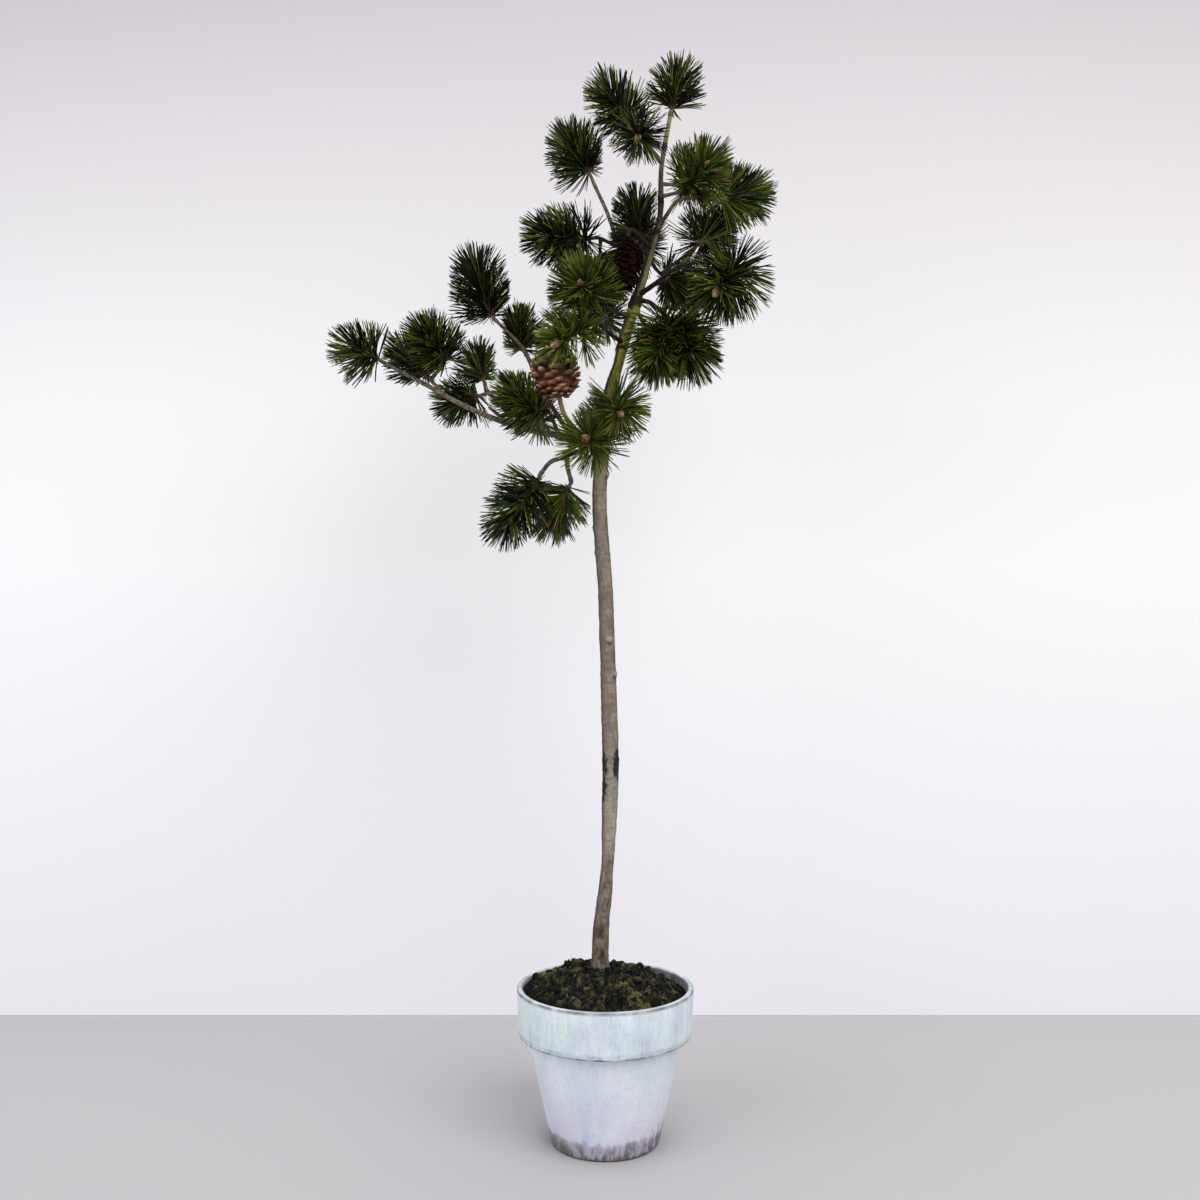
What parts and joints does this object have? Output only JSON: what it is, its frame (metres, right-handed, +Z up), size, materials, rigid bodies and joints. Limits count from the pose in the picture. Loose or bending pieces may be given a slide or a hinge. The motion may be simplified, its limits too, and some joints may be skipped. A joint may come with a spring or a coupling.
{
  "type": "potted pine",
  "caption": "Young pine with a tall bare leaning stem, an open tuft-like top of needles and cones, in a whitewashed clay flowerpot filled with mossy soil.",
  "frame": {"origin": "centre of the pot's flat underside", "axes": "+Z up, +X to the right and +Y away from the picture's camera"},
  "size_m": [0.4364, 0.2716, 1.0457],
  "materials": {
    "whitewashed_clay": "aged white wash over fired clay, matt, rubbed dark along the foot and edges",
    "mossy_soil": "dark potting mix with moss, rough",
    "bark": "thin grey-brown bark with knots and scars",
    "twig_bark": "rough twig bark",
    "pine_needles": "dark green needles, softly glossy",
    "open_cone": "dry pale brown scales",
    "closed_cone": "dark purple-brown scales"
  },
  "bodies": {
    "root": {"pot": "whitewashed_clay", "soil": "mossy_soil", "trunk": "bark", "bough_left": "twig_bark", "bough_left_fork": "twig_bark", "bough_left_rising": "twig_bark", "bough_left_rising_fork": "twig_bark", "bough_left_inner": "twig_bark", "bough_left_outer": "twig_bark", "bough_left_back": "twig_bark", "bough_broken": "twig_bark", "bough_hanging": "twig_bark", "bough_hanging_fork": "twig_bark", "bough_front_low": "twig_bark", "bough_front_high": "twig_bark", "bough_back_middle": "twig_bark", "bough_back_right": "twig_bark", "bough_right_low": "twig_bark", "bough_right": "twig_bark", "bough_right_back": "twig_bark", "bough_high_left": "twig_bark", "bough_middle_left": "twig_bark", "bough_right_far": "twig_bark", "bough_right_high": "twig_bark", "bough_back_high": "twig_bark", "bough_top_left": "twig_bark", "needles_top": "pine_needles", "needles_top_left": "pine_needles", "needles_high_left": "pine_needles", "needles_right_high": "pine_needles", "needles_right_far": "pine_needles", "needles_high_middle": "pine_needles", "needles_middle_left": "pine_needles", "needles_front_high": "pine_needles", "needles_front_low": "pine_needles", "needles_left_rising": "pine_needles", "needles_left_rising_fork": "pine_needles", "needles_left_inner": "pine_needles", "needles_left_outer": "pine_needles", "needles_left_fork": "pine_needles", "needles_left_end": "pine_needles", "needles_hanging": "pine_needles", "needles_hanging_fork": "pine_needles", "needles_low_right": "pine_needles", "needles_low_left": "pine_needles", "needles_right": "pine_needles", "needles_right_back": "pine_needles", "needles_right_low": "pine_needles", "needles_back_low": "pine_needles", "needles_back_left": "pine_needles", "needles_back_middle": "pine_needles", "needles_back_right": "pine_needles", "needles_back_centre": "pine_needles", "needles_back_high": "pine_needles", "cone_open": "open_cone", "cone_closed": "closed_cone"}
  },
  "joints": []
}
